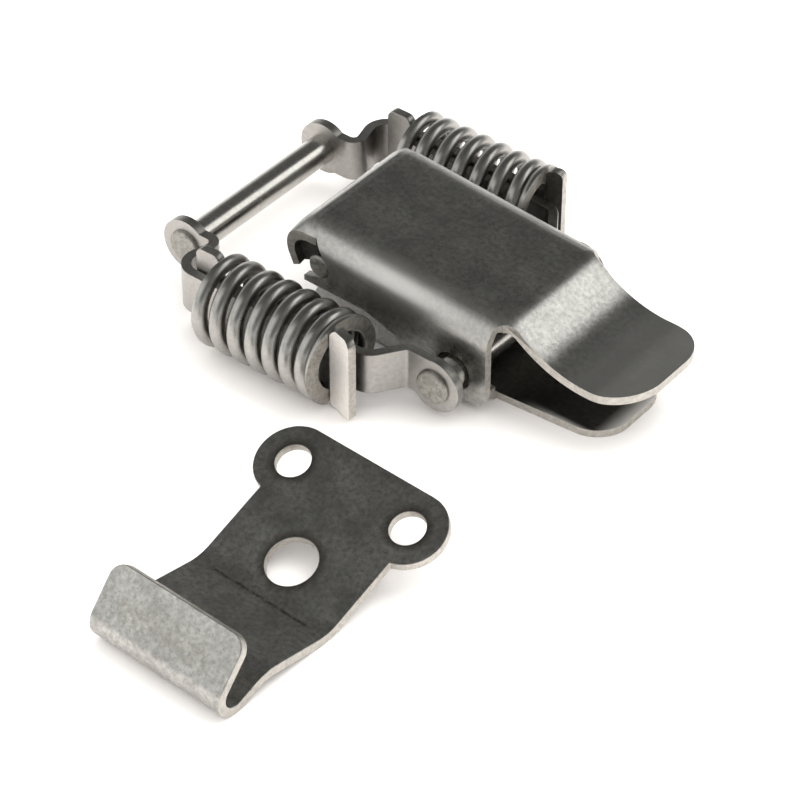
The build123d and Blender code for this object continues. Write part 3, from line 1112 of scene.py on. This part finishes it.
@dataclass
class PinPiece:
    """A turned pin or bar with worked ends."""

    node: Object
    library: Library
    end_length: float = 0.6
    end_slope: float = 0.3

    def build(self, body: str) -> Object:
        """Draw the pin with rough ends.

        Args:
            body: The body it rides on.

        Returns:
            The object that replaces the node.
        """
        bm = bmesh.new()
        bm.from_mesh(self.node.data)
        bmesh.ops.remove_doubles(bm, verts=bm.verts, dist=MERGE)
        bm.normal_update()
        reach = max(abs(v.co.y) for v in bm.verts)
        for face in bm.faces:
            outer = abs(face.calc_center_median().y) > reach - self.end_length * MM
            face.material_index = int(outer and abs(face.normal.y) > self.end_slope)
        name = self.node.name
        materials = [self.library.get(BAR), self.library.get(PEENED)]
        drawn = finish_mesh(bm, f"{name}_drawn", materials)
        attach(drawn, body)
        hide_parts(name)
        return drawn


def finish_mesh(bm: BMesh, name: str, materials: list[Material]) -> Object:
    """Turn a bmesh into a smooth-shaded object with clean normals on its flat faces.

    Args:
        bm: The mesh, which is freed.
        name: The object's name.
        materials: Its materials, in the order of the faces' numbers.

    Returns:
        The object, in the scene.
    """
    mesh = bpy.data.meshes.new(name)
    bm.to_mesh(mesh)
    bm.free()
    for polygon in mesh.polygons:
        polygon.use_smooth = True
    mesh.set_sharp_from_angle(angle=math.radians(SMOOTH_DEG))
    for material in materials:
        mesh.materials.append(material)
    drawn = bpy.data.objects.new(name, mesh)
    bpy.context.scene.collection.objects.link(drawn)
    weighted = drawn.modifiers.new("flat_faces", "WEIGHTED_NORMAL")
    weighted.mode = "FACE_AREA"
    weighted.weight = FLAT_WEIGHT
    weighted.keep_sharp = True
    return drawn


@dataclass(frozen=True)
class SpringSize:
    """Sizes of a spring in millimetres."""

    front_back: float
    rear_x: float = -26.1
    front_x: float = -1.0
    centre_y: float = 24.5
    centre_z: float = 7.6
    radius: float = 7.5
    wire: float = 2.6
    ground: float = 2.0
    turns: float = 7.8
    end_pitch: float = 0.62
    end_angle: float = 245.0
    rear_open: float = 0.6
    squeeze: float = 5.1
    front_tilt: float = 0.107
    close_turns: float = 0.9
    open_turns: float = 1.5
    flat_slope: float = 0.99
    ring_steps: int = 64
    wire_steps: int = 20

    @property
    def squeezed_share(self) -> float:
        """The share of its length that the spring keeps when the claw is pulled out."""
        return 1.0 - self.squeeze / (self.front_x - self.front_back - self.rear_x)


@dataclass
class Spring:
    """A coil spring whose ends close up and are ground flat."""

    side: int
    size: SpringSize
    library: Library

    def _pitch(self, turn: float) -> float:
        """Find the pitch at a turn.

        Args:
            turn: The turn, counted from the rear end.

        Returns:
            The pitch, against the middle coils' pitch.
        """
        size = self.size
        edge = min(turn + size.rear_open, size.turns - turn)
        opened = ease(edge, size.close_turns, size.open_turns)
        return size.end_pitch + (1.0 - size.end_pitch) * opened

    def _centre_line(self) -> list[Span]:
        """Follow the wire's centre.

        Returns:
            The turn and the X of each step.
        """
        size = self.size
        steps = round(size.turns * size.ring_steps)
        turns = [size.turns * n / steps for n in range(steps + 1)]
        travel = [0.0]
        for first, second in zip(turns, turns[1:]):
            travel.append(travel[-1] + self._pitch((first + second) / 2) * (second - first))
        start = size.rear_x + size.wire / 2 - size.ground
        length = size.front_x - size.wire / 2 + size.ground - start
        return [(turn, start + length * run / travel[-1]) for turn, run in zip(turns, travel)]

    def build(self, node: str, body: str) -> Object:
        """Draw the spring.

        Args:
            node: The node it replaces.
            body: The body it rides on.

        Returns:
            The spring's object.
        """
        size = self.size
        mean = size.radius - size.wire / 2
        centre = Vector((0.0, self.side * size.centre_y, size.centre_z))
        bm = bmesh.new()
        rings = []
        for turn, x in self._centre_line():
            angle = math.tau * (turn - size.turns) + math.radians(size.end_angle)
            out = Vector((0.0, math.cos(angle), math.sin(angle)))
            ring = []
            for step in range(size.wire_steps):
                around = math.tau * step / size.wire_steps
                reach = mean + size.wire / 2 * math.cos(around)
                point = centre + out * reach
                tilt = size.front_tilt * (abs(point.y) - size.centre_y)
                plane = size.front_x - size.front_back - tilt
                share = max((x - size.rear_x) / (size.front_x - size.rear_x), 0.0)
                shifted = x + (plane - size.front_x) * share**2
                along = shifted + size.wire / 2 * math.sin(around)
                point.x = min(max(along, size.rear_x), plane)
                ring.append(bm.verts.new(point * MM))
            rings.append(ring)
        for first, second in zip(rings, rings[1:]):
            for step in range(size.wire_steps):
                after = (step + 1) % size.wire_steps
                bm.faces.new((first[step], first[after], second[after], second[step]))
        bm.faces.new(rings[0])
        bm.faces.new(rings[-1])
        bmesh.ops.recalc_face_normals(bm, faces=bm.faces)
        for face in bm.faces:
            face.material_index = int(abs(face.normal.x) > size.flat_slope)
        materials = [self.library.get(WIRE), self.library.get(PEENED)]
        drawn = finish_mesh(bm, f"{node}_drawn", materials)
        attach(drawn, body)
        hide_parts(node)
        return drawn


@dataclass(frozen=True)
class View:
    """The photograph's camera, in millimetres and degrees."""

    azimuth: float = 38.416
    elevation: float = 40.004
    roll: float = 0.231
    target: tuple[float, float, float] = (5.390, -19.971, 0.8)
    distance: float = 485.33
    lens: float = 144.0
    sensor: float = 36.0
    clip: Span = (0.01, 20.0)

    def build(self) -> Object:
        """Place the camera.

        Returns:
            The camera object, set as the scene's camera.
        """
        turn, lift, roll = (math.radians(v) for v in (self.azimuth, self.elevation, self.roll))
        level = math.cos(lift)
        back = Vector((math.sin(turn) * level, -math.cos(turn) * level, math.sin(lift)))
        right = Vector((math.cos(turn), math.sin(turn), 0.0))
        up = back.cross(right)
        across = right * math.cos(roll) + up * math.sin(roll)
        above = up * math.cos(roll) - right * math.sin(roll)
        place = (Vector(self.target) + back * self.distance) * MM
        data = bpy.data.cameras.new("photo_camera")
        data.lens = self.lens
        data.sensor_width = self.sensor
        data.clip_start, data.clip_end = self.clip
        camera = bpy.data.objects.new("photo_camera", data)
        bpy.context.scene.collection.objects.link(camera)
        axes = Matrix((across, above, back)).transposed().to_4x4()
        camera.matrix_world = Matrix.Translation(place) @ axes
        bpy.context.scene.camera = camera
        return camera


@dataclass(frozen=True)
class Card:
    """A flat card overhead, seen in reflections alone: its place in metres and its level."""

    name: str
    x: Span
    y: Span
    height: float
    level: float
    tint: Colour = (1.0, 1.0, 0.97)


@dataclass(frozen=True)
class StudioSize:
    """Sizes and levels of the studio, in metres."""

    floor: float = 4.0
    floor_drop: float = 0.00003
    floor_colour: Colour = (0.97, 0.94, 0.91)
    floor_rough: float = 0.9
    floor_shine: float = 0.1
    sky_level: float = 1.55
    lamp_power: float = 3.0
    lamp_size: float = 0.6
    lamp_place: tuple[float, float, float] = (0.25, 0.35, 0.75)
    cards: tuple[Card, ...] = (
        Card("dark_card", (-0.45, 0.12), (-0.23, 1.0), 0.5, 0.13),
        Card("left_card", (-1.1, -0.45), (-0.23, 0.45), 0.5, 0.18),
        Card("far_left_card", (-1.1, -0.4), (0.2, 1.0), 0.499, 0.16),
        Card("grey_card", (0.12, 1.6), (-1.6, 0.3), 0.5, 0.24),
        Card("bright_card", (-1.1, -0.12), (-1.3, -0.25), 0.5, 1.25),
        Card("slope_card", (0.17, 0.8), (0.32, 0.9), 0.5, 2.05),
        Card("far_card", (0.8, 4.0), (0.3, 4.0), 0.52, 0.35),
        Card("back_card", (-1.1, 0.8), (1.0, 4.0), 0.52, 0.3),
    )


@dataclass
class Studio:
    """A pale floor, a white sky, a soft lamp, and cards overhead for the steel to reflect."""

    size: StudioSize

    def build(self) -> None:
        """Set up the stage."""
        self._floor()
        self._lamp()
        [self._card(card) for card in self.size.cards]
        self._sky()
        bpy.context.scene.view_settings.view_transform = "Standard"

    def _plane(self, name: str, x: Span, y: Span, z: float) -> Object:
        """Make a level rectangle.

        Args:
            name: Its name.
            x: Its range of X.
            y: Its range of Y.
            z: Its height.

        Returns:
            The rectangle, in the scene.
        """
        mesh = bpy.data.meshes.new(name)
        corners = [(x[0], y[0], z), (x[1], y[0], z), (x[1], y[1], z), (x[0], y[1], z)]
        mesh.from_pydata(corners, [], [(0, 1, 2, 3)])
        plane = bpy.data.objects.new(name, mesh)
        bpy.context.scene.collection.objects.link(plane)
        return plane

    def _floor(self) -> Object:
        """Lay the pale floor, just under the part.

        Returns:
            The floor.
        """
        half = self.size.floor / 2
        span = (-half, half)
        floor = self._plane("floor", span, span, -self.size.floor_drop)
        material = bpy.data.materials.new("white_floor")
        material.use_nodes = True
        paint = material.node_tree.nodes["Principled BSDF"]
        paint.inputs["Base Color"].default_value = (*self.size.floor_colour, 1.0)
        paint.inputs["Roughness"].default_value = self.size.floor_rough
        paint.inputs["Specular IOR Level"].default_value = self.size.floor_shine
        floor.data.materials.append(material)
        return floor

    def _card(self, card: Card) -> Object:
        """Hang a card that glows for reflections alone.

        Args:
            card: Its place and level.

        Returns:
            The card.
        """
        plane = self._plane(card.name, card.x, card.y, card.height)
        material = bpy.data.materials.new(card.name)
        material.use_nodes = True
        tree = material.node_tree
        tree.nodes.remove(tree.nodes["Principled BSDF"])
        glow = tree.nodes.new("ShaderNodeEmission")
        glow.inputs["Color"].default_value = (*card.tint, 1.0)
        glow.inputs["Strength"].default_value = card.level
        tree.links.new(glow.outputs[0], tree.nodes["Material Output"].inputs["Surface"])
        plane.data.materials.append(material)
        plane.visible_camera = False
        plane.visible_diffuse = False
        plane.visible_transmission = False
        plane.visible_shadow = False
        return plane

    def _lamp(self) -> Object:
        """Hang the soft lamp, which the steel doesn't mirror.

        Returns:
            The lamp.
        """
        data = bpy.data.lights.new("soft_lamp", "AREA")
        data.shape = "SQUARE"
        data.size = self.size.lamp_size
        data.energy = self.size.lamp_power
        lamp = bpy.data.objects.new("soft_lamp", data)
        bpy.context.scene.collection.objects.link(lamp)
        lamp.location = self.size.lamp_place
        lamp.visible_glossy = False
        aim = -Vector(self.size.lamp_place)
        lamp.rotation_euler = aim.to_track_quat("-Z", "Y").to_euler()
        return lamp

    def _sky(self) -> None:
        """A white sky that lights the floor more than it shows in the steel."""
        world = bpy.data.worlds.new("studio")
        bpy.context.scene.world = world
        world.use_nodes = True
        tree = world.node_tree
        back = tree.nodes["Background"]
        back.inputs["Color"].default_value = (1.0, 1.0, 1.0, 1.0)
        path = tree.nodes.new("ShaderNodeLightPath")
        seen = path.outputs["Is Camera Ray"]
        for name in ("Is Glossy Ray", "Is Transmission Ray"):
            join = tree.nodes.new("ShaderNodeMath")
            join.operation = "MAXIMUM"
            tree.links.new(seen, join.inputs[0])
            tree.links.new(path.outputs[name], join.inputs[1])
            seen = join.outputs[0]
        level = tree.nodes.new("ShaderNodeMapRange")
        level.inputs["To Min"].default_value = self.size.sky_level
        level.inputs["To Max"].default_value = 1.0
        tree.links.new(seen, level.inputs["Value"])
        tree.links.new(level.outputs["Result"], back.inputs["Strength"])


@dataclass
class Latch:
    """The whole object: every node and how it is drawn."""

    frame: dict
    library: Library = field(default_factory=Library)
    gauges: dict[str, float] = field(
        default_factory=lambda: {
            "base_plate": 1.3,
            "lever": 1.4,
            "catch_plate": 1.5,
            "left_front_strap": 1.6,
            "right_front_strap": 1.6,
            "left_rear_strap": 1.6,
            "right_rear_strap": 1.6,
        }
    )
    finishes: dict[str, tuple[Finish, ...]] = field(
        default_factory=lambda: {
            "base_plate": (FACE, EDGE, CHANNEL_SHADE_AND_LIGHT),
            "lever": (LEVER_WITH_HIGHLIGHTS, EDGE, SHADED_INNER),
            "catch_plate": (CATCH, EDGE),
        }
    )
    springs: tuple[tuple[int, str, float], ...] = (
        (1, "left_spring", 0.6),
        (-1, "right_spring", 1.25),
    )

    def _body_of(self, node: str) -> str:
        """The body that holds a node."""
        bodies = self.frame["record"]["behaviour"]["bodies"]
        return next(body for body, members in bodies.items() if node in members)

    def build(self) -> None:
        """Draw every node."""
        nodes = self.frame["nodes"]
        kinds = {
            "base_plate": BasePiece,
            "lever": LeverPiece,
            "left_front_strap": FrontStrapPiece,
            "right_front_strap": FrontStrapPiece,
            "left_rear_strap": RearStrapPiece,
            "right_rear_strap": RearStrapPiece,
        }
        for name, gauge in self.gauges.items():
            kind = kinds.get(name, SheetPiece)
            size = SheetSize(gauge, self.finishes.get(name, STRAP_FINISHES))
            kind(nodes[name], size, self.library).build(self._body_of(name))
            LOG.info("drew %s", name)
        for name in ("lever_pivot_pin", "link_pin", "crossbar"):
            PinPiece(nodes[name], self.library).build(self._body_of(name))
            LOG.info("drew %s", name)
        for side, name, front_back in self.springs:
            size = SpringSize(front_back=front_back)
            drawn = Spring(side, size, self.library).build(name, self._body_of(name))
            size.squeezed_share
            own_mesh(drawn)
            LOG.info("drew %s", name)


def main() -> None:
    """Build the scene."""
    logging.basicConfig(level=logging.INFO)
    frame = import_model()
    Latch(frame).build()
    Studio(StudioSize()).build()
    View().build()
    LOG.info("scene ready")


if __name__ == "__main__":
    main()
